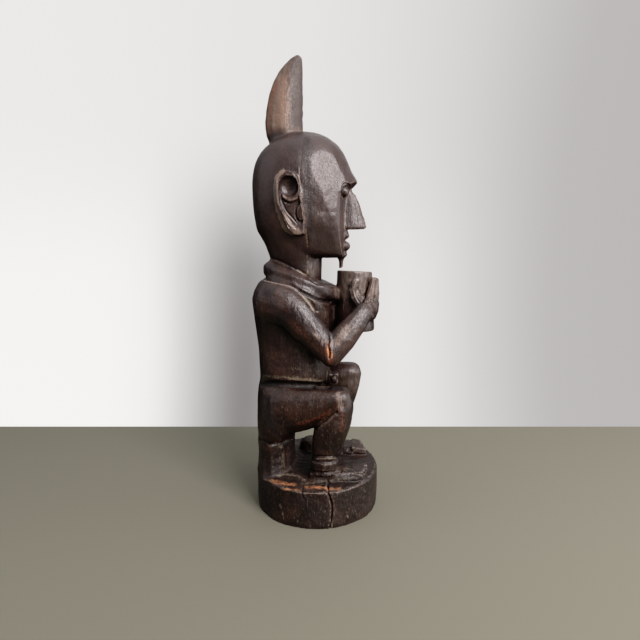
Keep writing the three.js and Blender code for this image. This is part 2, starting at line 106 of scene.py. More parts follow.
# Lines cut into the wood: points, width and depth, least distance from the middle, and the sides that get it
CUTS = [
    # Collar: under its edge, and round the neck
    (UNDER_COLLAR, 1.4, 2.6, 14, "both"),
    ([(272.4, 259.4), (279.4, 261), (293.3, 267.8), (305, 274.3), (315.4, 283), (324.7, 284.4), (335, 285.2)],
     1.3, 0.9, 10, "both"),
    # Edge of the shoulder against the chest
    ([(299, 290.5), (305.5, 296), (311.5, 303), (316.5, 311.5)], 1.5, 2.0, 20, "both"),
    # Between belly and thigh
    (GROIN, 2.6, 3.6, 16, "both"),
    # Behind the knee
    ([(312.8, 431.8), (320, 425.5), (328, 418.5), (336.5, 412.6)], 1.2, 2.6, 30, "right"),
    # Top of the stool
    ([(257.6, 436.8), (266, 442.6), (273.4, 444.4), (287, 440.2), (294.5, 438.6)], 1.0, 1.5, 10, "both"),
    # Fingers and thumb, and the lines on the cup between them
    ([(357.5, 288.5), (362, 296), (366, 293), (369, 284), (368.5, 279)], 1.1, 0.5, 8, "both"),
    ([(371.3, 279.5), (368.6, 290.5), (364.4, 298.4)], 1.2, 0.9, 8, "both"),
    ([(376.4, 281), (375.6, 290), (374, 298)], 1.0, 0.6, 6, "both"),
    ([(351.6, 279.5), (350.4, 285.2), (351.6, 293), (354.6, 300.7)], 1.2, 0.8, 12, "both"),
    # Above and below the ring at the ankle
    ([(312.6, 456.4), (326, 456.6), (340, 456)], 1.0, 1.6, 28, "right"),
    ([(312, 471.8), (326, 472.4), (341, 471.4)], 1.0, 1.6, 28, "right"),
    # Raised lines: edge of the shoulder and bent end of the thumb
    (SHOULDER_EDGE, 0.9, -0.9, 20, "both"),
    ([(353.8, 288), (354.6, 284), (357.2, 280.6)], 1.2, -0.7, 12, "both"),
]

# Colours laid over the dark wood, among them painted shade and painted highlights: points, width in pixels,
# strength, least distance from the middle, side
MARKS = {
    "dust": [
        ([(262, 376), (280, 377), (300, 378.5), (322, 381)], 3.4, 0.5, 20, "both"),
        ([(290, 379), (305, 380), (320, 381.6)], 1.8, 0.6, 20, "both"),
        ([(327.2, 371), (326.5, 383)], 1.1, 0.6, 4, "both"),
        ([(334, 366), (338, 371), (343, 368)], 2.2, 0.38, 0, "both"),
        ([(303, 296), (309, 303), (313, 309.5)], 2.2, 0.75, 20, "both"),
        ([(313, 301), (321, 305)], 2.6, 0.4, 14, "both"),
        ([(298, 270.5), (306, 275), (308, 270)], 2.0, 0.6, 14, "both"),
        ([(281, 446), (283, 471)], 7, 0.44, 20, "both"),
        ([(322, 306), (330, 326)], 7, 0.42, 8, "both"),
        ([(288, 368), (306, 370), (322, 371)], 6, 0.4, 20, "both"),
        ([(340, 470), (360, 468)], 5, 0.42, 20, "both"),
        ([(336, 481), (352, 478), (366, 474)], 3, 0.44, 20, "both"),
        ([(302, 273), (325, 284)], 4, 0.36, 14, "both"),
        ([(300, 484), (320, 482), (345, 478)], 3, 0.46, 30, "both"),
        ([(331, 520), (331.6, 526)], 1.1, 0.95, 30, "right"),
        ([(347.5, 514), (347.5, 517)], 1.1, 0.9, 30, "right"),
        ([(280, 504), (284, 519)], 2.6, 0.5, 30, "right"),
        ([(277, 476), (292, 474), (305, 480)], 3.2, 0.5, 30, "both"),
        ([(313, 431.5), (322, 424), (336, 412.8)], 1.2, 0.6, 30, "right"),
        ([(316, 459), (337, 458.5)], 1.1, 0.6, 30, "right"),
        ([(359, 288), (363, 292.5), (365.5, 288)], 1.6, 0.55, 8, "both"),
        ([(300, 395), (322, 391)], 5, 0.3, 30, "both"),
        ([(279, 350), (281, 372)], 8, 0.22, 30, "both"),
    ],
    "bare": [
        ([(271, 480.6), (282, 483.2), (294, 485)], 3.6, 0.5, 30, "both"),
        ([(284, 488.6), (300, 490.6)], 2.8, 0.45, 30, "both"),
        ([(306, 487), (318, 487.2), (330, 489), (340, 488.6)], 2.6, 0.53, 30, "both"),
        ([(328.4, 346.5), (328, 351.5), (329, 357.5)], 1.5, 0.7, 44, "right"),
        ([(331.6, 351), (332, 358.5)], 1.5, 0.7, 44, "right"),
        ([(274.6, 184), (277, 176), (281, 172.6), (285, 171.6)], 1.0, 0.36, 30, "both"),
        ([(273, 443.2), (280, 441.3), (291, 438.3)], 0.9, 0.55, 20, "both"),
    ],
    "red": [
        ([(298, 424), (318, 418), (331, 411)], 5, 0.5, 30, "both"),
        ([(337, 405), (342, 415), (341, 430)], 5, 0.5, 30, "both"),
        ([(292, 322), (308, 338), (322, 352)], 5, 0.45, 40, "both"),
        ([(262, 444), (264, 472)], 6, 0.33, 10, "both"),
        ([(340.6, 196), (341, 250)], 1.6, 0.42, 6, "both"),
        ([(328.5, 342), (327.5, 352), (330.5, 362)], 4.5, 0.7, 44, "right"),
        ([(276, 82), (269.5, 105), (267.5, 132)], 4.5, 0.75, 0, "both"),
        ([(364, 226), (366, 229)], 2.5, 0.4, 0, "both"),
    ],
    # Wear, and in places painted highlights where the wood catches the light
    "worn_and_sheen": [
        (SHOULDER_EDGE, 1.0, 0.75, 20, "both"),
        # Base rim: wear and a painted highlight along its edge
        ([(263, 479), (280, 485.2), (300, 492), (322, 493.6), (340, 492), (351, 488.5), (364, 480.4)],
         1.2, 0.52, 20, "both"),
        ([(283, 171), (276.2, 180), (276.6, 204), (283.5, 225), (291, 232.6), (300, 233)],
         2.5, 0.95, 30, "both"),
        ([(286, 214), (291, 227), (298, 230)], 4.5, 0.66, 30, "both"),
        ([(283.5, 195.5), (289.5, 200), (297, 198)], 1.7, 0.7, 30, "both"),
        ([(358, 318), (367, 303), (375, 288)], 7, 0.42, 8, "both"),
        ([(308, 258), (312, 276)], 6, 0.45, 14, "both"),
        ([(341, 275), (346, 290), (344, 310)], 6, 0.4, 6, "both"),
        # Painted highlights on the forearm and on the lower part of the upper arm
        ([(347, 328), (336, 343)], 7, 0.6, 10, "both"),
        ([(312, 330), (323, 343)], 4, 0.52, 40, "both"),
        # Painted highlight along the foot's ridge, with wear
        ([(336.8, 475.8), (350, 473.4), (364, 471.8)], 1.3, 0.55, 30, "right"),
        ([(344.2, 199), (344.2, 229)], 0.8, 0.6, 0, "both"),
        # Painted highlight along the lower edge of the jaw
        ([(322, 256.2), (337.6, 256)], 0.8, 0.5, 4, "both"),
        # Painted highlight on the near knee
        ([(338, 394), (341, 408)], 5, 0.6, 30, "both"),
    ],
    # Painted shade, with some grime in the crease between belly and thigh: dark laid in that crease, under
    # the collar, under the arm, on the rear of the thigh, shoulder, stool and base, and beside the crack in
    # the head
    "dirt_and_shade": [
        ([(262, 384), (285, 385), (300, 385.6), (315, 386.4), (328, 387.2), (340, 388)],
         3.0, 0.95, 16, "both"),
        ([(266, 400), (270, 425)], 10, 0.68, 30, "both"),
        ([(262, 450), (268, 470)], 8, 0.5, 10, "both"),
        (UNDER_COLLAR[:3], 1.3, 0.6, 14, "both"),
        (UNDER_COLLAR[3:], 1.6, 0.7, 14, "both"),
        ([(300, 318), (314, 340), (327, 366)], 2.4, 0.5, 20, "both"),
        ([(307, 140), (308, 180), (310, 215), (309, 240)], 5.5, 0.6, 20, "both"),
        ([(268, 292), (276, 312), (286, 334)], 10, 0.6, 40, "both"),
        ([(262, 486), (268, 510)], 8, 0.56, 20, "both"),
        ([(296, 500), (320, 512)], 12, 0.5, 20, "both"),
    ],
}


def smooth_step(value, low, high):
    """From 0 at low to 1 at high, without a kink at either."""
    t = np.clip((value - low) / (high - low), 0, 1)
    return t * t * (3 - 2 * t)


def between(value, low, high, soft):
    """1 from low to high, and 0 outside them."""
    return smooth_step(value, low - soft, low + soft) * (1 - smooth_step(value, high - soft, high + soft))


def curve_through(points, steps=6, closed=False):
    """A smooth line through the points, as a finer list of points."""
    points = [np.array(p, float) for p in points]
    count = len(points)
    spans = count if closed else count - 1
    pick = (lambda i: points[i % count]) if closed else (lambda i: points[min(max(i, 0), count - 1)])
    fine = []
    for i in range(spans):
        a, b, c, d = (pick(i + k) for k in (-1, 0, 1, 2))
        for t in np.arange(steps) / steps:
            fine.append(0.5 * (
                2 * b + (c - a) * t + (2 * a - 5 * b + 4 * c - d) * t**2 + (3 * b - a - 3 * c + d) * t**3
            ))
    if not closed:
        fine.append(points[-1])
    return np.array(fine)


def line_distance(points, line, closed=False):
    """How far each point lies from a line of straight pieces."""
    ends = np.roll(line, -1, axis=0) if closed else line[1:]
    best = np.full(len(points), np.inf)
    for a, b in zip(line, ends):
        run = b - a
        t = np.clip(((points - a) @ run) / (run @ run), 0, 1)
        best = np.minimum(best, np.linalg.norm(points - a - t[:, None] * run, axis=1))
    return best


def inside_outline(points, line):
    """True for each point inside the closed line."""
    inside = np.zeros(len(points), bool)
    for a, b in zip(line, np.roll(line, -1, axis=0)):
        crosses = (a[1] > points[:, 1]) != (b[1] > points[:, 1])
        with np.errstate(divide="ignore", invalid="ignore"):
            at = a[0] + (points[:, 1] - a[1]) * (b[0] - a[0]) / (b[1] - a[1])
        inside ^= crosses & (points[:, 0] < at)
    return inside


def wobble(points, size, seed):
    """Smooth noise from -1 to 1 with features of about that size."""
    rng = np.random.default_rng(seed)
    lattice = rng.uniform(-1, 1, (32, 32, 32))
    place = points / size + rng.uniform(0, 32, 3)
    cell = np.floor(place).astype(int)
    t = place - cell
    t = t * t * (3 - 2 * t)
    total = np.zeros(len(points))
    for corner in np.ndindex(2, 2, 2):
        weight = np.prod(np.where(corner, t, 1 - t), axis=1)
        i, j, k = ((cell + corner) % 32).T
        total += weight * lattice[i, j, k]
    return total


def in_picture(points):
    """Where the points lie in the photograph, in its pixels, with those on the left mirrored to the right."""
    forward, right, up = points.T
    place = np.stack([-np.abs(right), -forward, up], axis=1) * MM - np.array(CAMERA_AT)
    depth = place @ np.array(AHEAD)
    across, high = place @ np.array(ACROSS), place @ np.array(UPRIGHT)
    return np.stack([MIDDLE + FOCAL * across / depth, MIDDLE - FOCAL * high / depth], axis=1)


class Carving:
    """The figure's surface as an even mesh, with its points in millimetres as (forward, right, up)."""

    def __init__(self, node):
        self.piece = bpy.data.objects.new("carved_figure", node.data.copy())
        bpy.context.scene.collection.objects.link(self.piece)
        shell = bmesh.new()
        shell.from_mesh(self.piece.data)
        bmesh.ops.remove_doubles(shell, verts=shell.verts, dist=MM * 0.001)
        shell.to_mesh(self.piece.data)
        shell.free()
        even = self.piece.modifiers.new("even", "REMESH")
        even.mode = "VOXEL"
        even.voxel_size = VOXEL * MM
        self.apply()
        mesh = self.piece.data
        edges = np.empty(len(mesh.edges) * 2, np.int64)
        mesh.edges.foreach_get("vertices", edges)
        pairs = edges.reshape(-1, 2)
        pairs = np.concatenate([pairs, pairs[:, ::-1]])
        pairs = pairs[np.argsort(pairs[:, 0], kind="stable")]
        count = len(mesh.vertices)
        self.degree = np.bincount(pairs[:, 0], minlength=count)
        rank = np.arange(len(pairs)) - np.repeat(np.cumsum(self.degree) - self.degree, self.degree)
        self.neighbours = np.full((self.degree.max(), count), count)
        self.neighbours[rank, pairs[:, 0]] = pairs[:, 1]
        raw = np.empty(count * 3)
        mesh.vertices.foreach_get("co", raw)
        raw = raw.reshape(-1, 3) / MM
        self.points = np.stack([-raw[:, 1], -raw[:, 0], raw[:, 2]], axis=1)

    def apply(self):
        """Makes the modifiers' result the mesh."""
        graph = bpy.context.evaluated_depsgraph_get()
        made = bpy.data.meshes.new_from_object(self.piece.evaluated_get(graph))
        self.piece.modifiers.clear()
        self.piece.data = made

    def write(self):
        forward, right, up = self.points.T
        raw = np.stack([-right, -forward, up], axis=1) * MM
        self.piece.data.vertices.foreach_set("co", raw.ravel())
        self.piece.data.update()

    def normals(self):
        self.write()
        raw = np.empty(len(self.points) * 3, np.float32)
        self.piece.data.vertex_normals.foreach_get("vector", raw)
        raw = raw.reshape(-1, 3).astype(float)
        return np.stack([-raw[:, 1], -raw[:, 0], raw[:, 2]], axis=1)

    def around(self, values):
        """The mean of each point's neighbours."""
        padded = np.concatenate([values, np.zeros((1, values.shape[1]))])
        total = padded[self.neighbours[0]]
        for others in self.neighbours[1:]:
            total += padded[others]
        return total / self.degree[:, None]

    def blurred(self, values, reach):
        """Values spread over the surface by that many millimetres, which may differ from point to point."""
        most = float(np.max(reach))
        share = np.broadcast_to((np.asarray(reach) / most) ** 2, len(values))[:, None]
        pace = 0.6
        rounds = max(1, round(2 * most**2 / (pace * VOXEL**2)))
        values = values.copy()
        for _ in range(rounds):
            values += pace * share * (self.around(values) - values)
        return values

    def calm(self, where, reach):
        """Smooths the surface over that many millimetres where it is told to."""
        calmer = self.blurred(self.points, reach)
        self.points += where[:, None] * (calmer - self.points)

    def store(self, name, values):
        """Keeps a value for each point, for the material."""
        layer = self.piece.data.attributes.new(name, "FLOAT", "POINT")
        layer.data.foreach_set("value", values.astype(np.float32))

    def soften(self, reach):
        """Rounds the surface over that many millimetres without shrinking it."""
        softer = self.blurred(self.points, reach)
        for _ in range(2):
            softer += self.blurred(self.points - softer, reach)
        self.points = softer

    def push(self, amount):
        """Moves the surface out along its normals."""
        self.points += np.asarray(amount)[:, None] * self.normals()

    def tree(self):
        tree = kdtree.KDTree(len(self.points))
        for i, p in enumerate(self.points):
            tree.insert(p, i)
        tree.balance()
        return tree

    def shave(self, tree, centre, facing, depth, reach, least=-100):
        """Cuts a flat with a blade: takes off what stands higher than the plane that lies that deep.
        Nothing is cut behind the least place forward."""
        found = tree.find_range(centre, reach)
        near = np.array([f[1] for f in found])
        away = np.array([f[2] for f in found])
        height = (self.points[near] - centre) @ facing
        ahead = smooth_step(self.points[near, 0], least - 4, least + 5)
        same = (self.facing[near] @ facing > 0.55) & (ahead > 0.5)
        if not same.any():
            return
        spare = height - (height[same].max() - depth)
        cut = np.clip(spare, 0, depth) * same * ahead * (1 - smooth_step(away, 0.75 * reach, reach))
        self.points[near] -= cut[:, None] * facing

    def blade_marks(self, tree, count, depths, seed):
        """Scatters small flats over the wood, each about as deep as depths gives for its place."""
        rng = np.random.default_rng(seed)
        for i in rng.integers(0, len(self.points), count):
            depth = depths[i] * rng.uniform(0.5, 1.2)
            facing = self.facing[i] + rng.normal(0, 0.05, 3)
            if depth > 0.03:
                facing /= np.linalg.norm(facing)
                self.shave(tree, self.points[i].copy(), facing, depth, rng.uniform(9, 15))


def softness(carving):
    """How far the solid's facets are blended at each point, in millimetres, and less at its real edges."""
    forward, right, up = carving.points.T
    side = np.abs(right)
    reach = np.full(len(forward), 3.2)
    trunk = between(up, SEAT, NECK_FOOT, 8) * (1 - smooth_step(side, 34, 44))
    trunk *= 1 - smooth_step(forward, 12, 22)
    head = between(up, 300, 425, 8) * (1 - smooth_step(forward, 8, 26))
    reach += 2.6 * np.maximum(trunk, head)
    collar = between(up, 236, 282, 3) * (1 - smooth_step(side, 44, 50)) * (1 - smooth_step(forward, 18, 24))
    reach = reach * (1 - collar) + 3.4 * collar
    horn = smooth_step(up, HORN_FOOT - 8, HORN_FOOT)
    reach = reach * (1 - horn) + 1.5 * horn
    hip = between(up, 96, 176, 8) * between(forward, -56, -8, 8) * smooth_step(side, 30, 36)
    reach = np.minimum(reach + 2.2 * hip, 5.4)
    ankle = between(up, 48, 70, 2) * smooth_step(side, 18, 22) * smooth_step(forward, -10, -6)
    reach = reach * (1 - ankle) + 1.2 * ankle
    stands = np.linalg.norm(carving.points - carving.blurred(carving.points, 2.2), axis=1)
    edge = smooth_step(stands, 0.42, 0.95)
    edge = np.clip(2.2 * carving.blurred(edge[:, None], 1.8)[:, 0], 0, 1)
    fine = np.maximum.reduce([
        edge,
        smooth_step(forward, 20, 26) * between(up, 262, 374, 4),
        0.75 * smooth_step(forward, 30, 38) * between(up, *HANDS, 4),
        between(forward, -42, -4, 3) * between(up, 300, 376, 3) * smooth_step(side, 36, 40),
        between(up, 40, 52, 4) * smooth_step(forward, 30, 36),
    ])
    reach = reach * (1 - fine) + 0.7 * fine
    low = 1 - smooth_step(up, BASE_TOP - 4, BASE_TOP)
    return reach * (1 - low) + 1.4 * low


def working_depth(points):
    """How deep the blade's marks are at each point, in millimetres: deepest on the base and stool."""
    forward, right, up = points.T
    depth = np.full(len(points), 0.14)
    depth[up < BASE_TOP + 2] = 0.45
    depth[(up > BASE_TOP) & (up < 80) & (forward < -20)] = 0.35
    depth[(up > SEAT) & (up < NECK_FOOT) & (forward < 14)] = 0.26
    depth[(up > 290) & (up < HORN_FOOT)] = 0.12
    depth[(up > 300) & (up < 352) & (forward > -6)] = 0.28
    depth[up > HORN_FOOT] = 0.22
    depth[(up > 298) & (forward > 28)] = 0
    depth[(up > HANDS[0]) & (up < HANDS[1]) & (forward > 38)] = 0
    return depth


# The planes that a larger blade left: middle and facing, depth, reach, and least place forward
PLANES = [
    ((8, 36, 328), (0.13, 0.985, -0.06), 0.9, 34, -7),
    ((14.5, 31.4, 372), (0.41, 0.885, 0.18), 2.1, 32, -7),
    ((19.5, 32.4, 343), (0.43, 0.9, 0.05), 1.9, 30, -7),
    ((30, 24, 372), (0.72, 0.62, 0.3), 1.0, 22, -7),
    ((6, 31, 304), (0.14, 0.94, -0.3), 1.1, 26, -7),
    ((-45, 30, 330), (-0.6, 0.8, -0.05), 0.9, 30, -90),
    ((-55, 36, 62), (-0.62, 0.78, 0), 1.8, 34, -90),
    ((-34, 41, 62), (0.14, 0.99, 0), 1.4, 26, -90),
    ((-25, 20, 62), (0.93, 0.36, 0), 1.0, 20, -90),
]


def carve_planes(carving, tree):
    for centre, facing, depth, reach, least in PLANES:
        for sign in (1, -1):
            turned = np.array(facing) * (1, sign, 1)
            middle = np.array(centre) * (1, sign, 1)
            nearest = np.array(tree.find(middle)[0])
            carving.shave(tree, nearest, turned / np.linalg.norm(turned), depth, reach, least)


def carve_ears(carving):
    """Cuts the relief of both ears: rim, round hollow, crescent, grooves and the flap in front."""
    outline = curve_through(EAR_OUTLINE, closed=True)
    grooves = [curve_through(g) for g in EAR_GROOVES]
    forward, right, up = carving.points.T
    near = np.flatnonzero((np.abs(right) > 30) & (forward > -41) & (forward < -5) & (up > 302) & (up < 374))
    flat = carving.points[near][:, [0, 2]]
    depth = line_distance(flat, outline, closed=True) * np.where(inside_outline(flat, outline), 1, -1)
    plane = EAR_PLANE + EAR_LEAN * np.minimum(0, flat[:, 1] - CONCHA[1])

    from_hollow = flat - CONCHA
    radius = np.linalg.norm(from_hollow, axis=1)
    turn = np.degrees(np.arctan2(from_hollow[:, 1], from_hollow[:, 0])) % 360
    rim_width = 2.4 + 3.2 * smooth_step(flat[:, 1], 358, 368) + 4 * smooth_step(-flat[:, 1], -320, -309)
    rim = 1 - smooth_step(depth, rim_width - 0.8, rim_width + 0.8)
    relief = -2.4 * (1 - rim) - 0.9 * (1 - smooth_step(depth, 0, 1.6))
    lobe = 1 - smooth_step(flat[:, 1], 312, 322)
    relief = np.maximum(relief, -2.4 + 1.9 * lobe - 0.9 * (1 - smooth_step(depth, 0, 1.6)))
    for groove, deep in zip(grooves, (1.3, 0.8)):
        relief -= deep * np.exp(-((line_distance(flat, groove) / 0.9) ** 2))
    bowl = np.clip(1 - (radius / (CONCHA_RADIUS + 0.4)) ** 2, 0, 1)
    relief = np.where(radius < CONCHA_RADIUS + 0.4, np.minimum(relief, -1.2 - 7.2 * np.sqrt(bowl)), relief)
    swell = np.sin(np.pi * np.clip((turn - 232) / 108, 0, 1)) ** 0.6
    crescent_middle = CONCHA_RADIUS + 0.6 + 2.3 * swell
    crescent = np.exp(-((np.abs(radius - crescent_middle) / (2.5 * swell + 0.01)) ** 4)) * (swell > 0.05)
    relief += crescent * (-0.1 - relief)
    under = np.exp(-(((radius - CONCHA_RADIUS - 6.6 * swell) / 0.9) ** 2)) * (swell > 0.35)
    relief -= 1.3 * under * (1 - crescent)
    oval = np.linalg.norm((flat - TRAGUS) / TRAGUS_HALF, axis=1)
    relief -= 1.6 * np.exp(-(((oval - 1.22) / 0.2) ** 2)) * (flat[:, 0] < TRAGUS[0] + 3)
    relief = np.where(oval < 1, np.maximum(relief, -1.5 + 1.3 * np.sqrt(np.clip(1 - oval**2, 0, 1))), relief)

    held = smooth_step(depth, -0.2, 1.0)
    side = np.abs(right[near])
    carving.points[near, 1] += np.sign(right[near]) * held * (plane + relief - side)


def shown(carving, least, side):
    """How much each point can belong to a mark: it faces the camera and lies far enough out on that side."""
    forward, right, up = carving.points.T
    there = right if side == "right" else np.abs(right)
    return smooth_step(there, least - 0.5, least + 0.5) * carving.open


def picture_line(carving, line, width, least, side):
    """From 1 on a line placed by the photograph to 0 some widths away, with the width in millimetres."""
    weight = shown(carving, least, side)
    low = np.min(line, axis=0) - 4 * width - 2
    high = np.max(line, axis=0) + 4 * width + 2
    inside = np.all((carving.picture > low) & (carving.picture < high), axis=1) & (weight > 0.01)
    picked = np.flatnonzero(inside)
    gap = line_distance(carving.picture[picked], curve_through(line))
    strength = np.zeros(len(carving.points))
    strength[picked] = weight[picked] * np.exp(-((gap / width) ** 2))
    return strength


def crack(carving, line, width, deep, where):
    """Cuts a narrow split whose place is given forward and up."""
    picked = np.flatnonzero(where > 0.01)
    cut = np.zeros(len(carving.points))
    gap = line_distance(carving.points[picked][:, [0, 2]], curve_through(line))
    cut[picked] = deep * where[picked] * np.exp(-((gap / width) ** 2))
    carving.push(-cut)


def set_against_picture(carving):
    """Notes where each point lies in the photograph, and how much it faces the camera."""
    forward, right, up = carving.points.T
    carving.picture = in_picture(carving.points)
    normals = carving.facing.copy()
    normals[:, 1] *= np.sign(right)
    eye_line = np.stack([forward, np.abs(right), up], axis=1) - CAMERA_PLACE
    eye_line /= -np.linalg.norm(eye_line, axis=1)[:, None]
    carving.open = smooth_step(np.einsum("ij,ij->i", normals, eye_line), 0.0, 0.2)


def carve_details(carving):
    """Lines, cracks and rings that the solid leaves out."""
    forward, right, up = carving.points.T
    for line, width, deep, least, side in CUTS:
        carving.push(-deep * picture_line(carving, line, width, least, side))
    near_side = (right > 12).astype(float)
    crack(carving, HEAD_CRACK, 0.5, 0.5, near_side * (up > 288) * (0.3 + 0.7 * (up < 374)))
    crack(carving, ELBOW_CRACK, 0.7, 2.6, near_side * (right > 40) * (up < 210) * (up > 170))
    crack(carving, BASE_CRACK, 0.8, 2.8, near_side * (up < BASE_TOP + 2))
    crack(carving, BASE_SIDE_CRACK, 0.7, 1.4, near_side * (up < BASE_TOP))

    x, y = carving.picture.T
    boss = np.hypot(x - KNOT[0], y - KNOT[1])
    round_boss = np.exp(-(((boss - 3.6) / 0.8) ** 2))
    carving.push(-1.2 * round_boss * shown(carving, 3, "both") * (np.abs(right) < 14))
    oval = np.hypot((x - EYE[0]) / EYE_HALF[0], (y - EYE[1]) / EYE_HALF[1])
    eyes = shown(carving, 6, "both") * (up > 336) * (up < 366)
    lid = 0.5 * np.exp(-(((oval - 1.35) / 0.14) ** 2))
    groove = 1.2 * np.exp(-(((oval - 1.08) / 0.13) ** 2))
    carving.push(eyes * (lid - groove))
    lip = between(up, 288, 301, 1) * smooth_step(forward, 31, 33) * (np.abs(right) < 12)
    hatch = np.sin(2 * np.pi * (forward + up) / 3.4) * np.sin(2 * np.pi * (right + up) / 3.4)
    carving.push(0.35 * lip * hatch)


def grain(carving):
    """Fibres and splits that run up the log, open on the base and stool and polished away higher up."""
    forward, right, up = carving.points.T
    flat = np.abs(carving.facing[:, 2])
    upright = 1 - smooth_step(flat, 0.5, 0.8)
    depth = np.full(len(up), 0.03)
    depth[up < BASE_TOP + 1] = 0.14
    depth[(up >= BASE_TOP + 1) & (up < SEAT) & (forward < -18)] = 0.14
    depth[(up > SEAT) & (up < 250) & (forward < 14)] = 0.08
    fibres = np.stack([forward, right, up * 0.07], axis=1)
    ridged = 1 - 2 * np.abs(wobble(fibres, 2.2, 31))
    carving.push(-depth * upright * np.clip(ridged, 0, 1) + 0.6 * depth * wobble(fibres, 1.4, 32) * upright)
    top = smooth_step(flat, 0.6, 0.85) * (up < BASE_TOP + 8) * (up > BASE_TOP - 8)
    chops = np.stack([forward * 0.25, right, up], axis=1)
    carving.push(top * (0.45 * wobble(chops, 2.4, 33) + 0.5 * wobble(carving.points, 6, 34)))


def carve_base(carving):
    """Makes the base round again, then gives its side the waves of an adze."""
    forward, right, up = carving.points.T
    radius = np.hypot(forward - BASE_MIDDLE, right)
    side = smooth_step(radius, 66, 69) * (1 - smooth_step(up, BASE_TOP - 6, BASE_TOP - 3))
    turn = np.arctan2(right, forward)
    ring = np.stack([30 * np.cos(turn), 30 * np.sin(turn), up * 0.35], axis=1)
    target = BASE_RADIUS + 0.7 * wobble(ring, 9, 5) - 0.5 * (1 - smooth_step(up, 0, 4))
    scale = 1 + side * (target / np.maximum(radius, 1) - 1)
    carving.points[:, 0] = BASE_MIDDLE + (forward - BASE_MIDDLE) * scale
    carving.points[:, 1] = right * scale


def roughen(carving):
    """The waves and dimples of hand work. A strip in front of each ear stays calm."""
    face = between(carving.points[:, 2], 296, 418, 8) * smooth_step(carving.points[:, 0], -10, -2)
    carving.push((0.12 + 0.14 * face) * wobble(carving.points, 8, 3) + 0.045 * wobble(carving.points, 3.4, 4))
    carving.push(0.4 * smooth_step(carving.points[:, 2], 416, 424))
    forward, right, up = carving.points.T
    cheek = between(up, 300, 352, 6) * smooth_step(forward, -8, -2) * (1 - smooth_step(forward, 22, 28))
    rough_horn = smooth_step(up, HORN_FOOT, HORN_FOOT + 8) * smooth_step(forward, -32, -26)
    carving.push((0.32 * cheek + 0.4 * rough_horn) * wobble(carving.points, 5.5, 7))
    beside_ear = between(forward, -14, -1, 3) * between(up, 288, 392, 6) * smooth_step(np.abs(right), 20, 24)
    carving.calm(beside_ear, 2)
    limbs = between(up, SEAT, NECK_FOOT, 4) * smooth_step(np.abs(right), 30, 36)
    ankles = between(up, 46, 72, 3) * smooth_step(np.abs(right), 20, 24) * smooth_step(forward, -8, -2)
    carving.push((0.14 * limbs + 0.35 * ankles) * wobble(carving.points, 4.5, 8))


def fill_profile(carving):
    """Brings the bridge of the nose and the gap between the lips out to the photo's outline."""
    forward, right, up = carving.points.T
    middle = 1 - smooth_step(np.abs(right), 7, 10)
    heights = smooth_step(up, 328, 349) * (1 - smooth_step(up, 351, 355))
    bridge = heights * smooth_step(forward, 30, 35) * middle
    lips = between(up, 302, 308, 2) * smooth_step(forward, 29, 32) * middle
    carving.points[:, 0] += 2.4 * bridge + 1.6 * lips


def store_shades(carving):
    """Keeps, for the material, how far each point stands out and how strong each mark is there."""
    normals = carving.normals()
    for name, reach in (("relief_fine", 1.6), ("relief_broad", 4)):
        proud = carving.points - carving.blurred(carving.points, reach)
        carving.store(name, np.einsum("ij,ij->i", proud, normals))
    for name, marks in MARKS.items():
        shade = np.zeros(len(carving.points))
        for line, width, strength, least, side in marks:
            shade = np.maximum(shade, strength * picture_line(carving, line, width, least, side))
        carving.store(name, shade)


def carved_piece(node):
    """The solid as one carved piece, finer than the CAD but with the same form."""
    carving = Carving(node)
    carving.soften(0.9)
    carving.soften(softness(carving))
    carve_base(carving)
    carving.facing = carving.blurred(carving.normals(), 1.8)
    carving.facing /= np.linalg.norm(carving.facing, axis=1)[:, None]
    tree = carving.tree()
    carve_planes(carving, tree)
    carving.blade_marks(tree, BLADE_MARKS, working_depth(carving.points), 21)
    roughen(carving)
    fill_profile(carving)
    grain(carving)
    carve_ears(carving)
    set_against_picture(carving)
    carve_details(carving)
    carving.calm(picture_line(carving, GROIN, 6, 16, "both"), 1.4)
    carving.points[:, 2] = np.maximum(carving.points[:, 2], 0)
    store_shades(carving)
    carving.write()
    thin = carving.piece.modifiers.new("thin", "DECIMATE")
    thin.ratio = min(1, FACES / (2 * len(carving.piece.data.polygons)))
    carving.apply()
    carving.piece.data.shade_smooth()
    return carving.piece


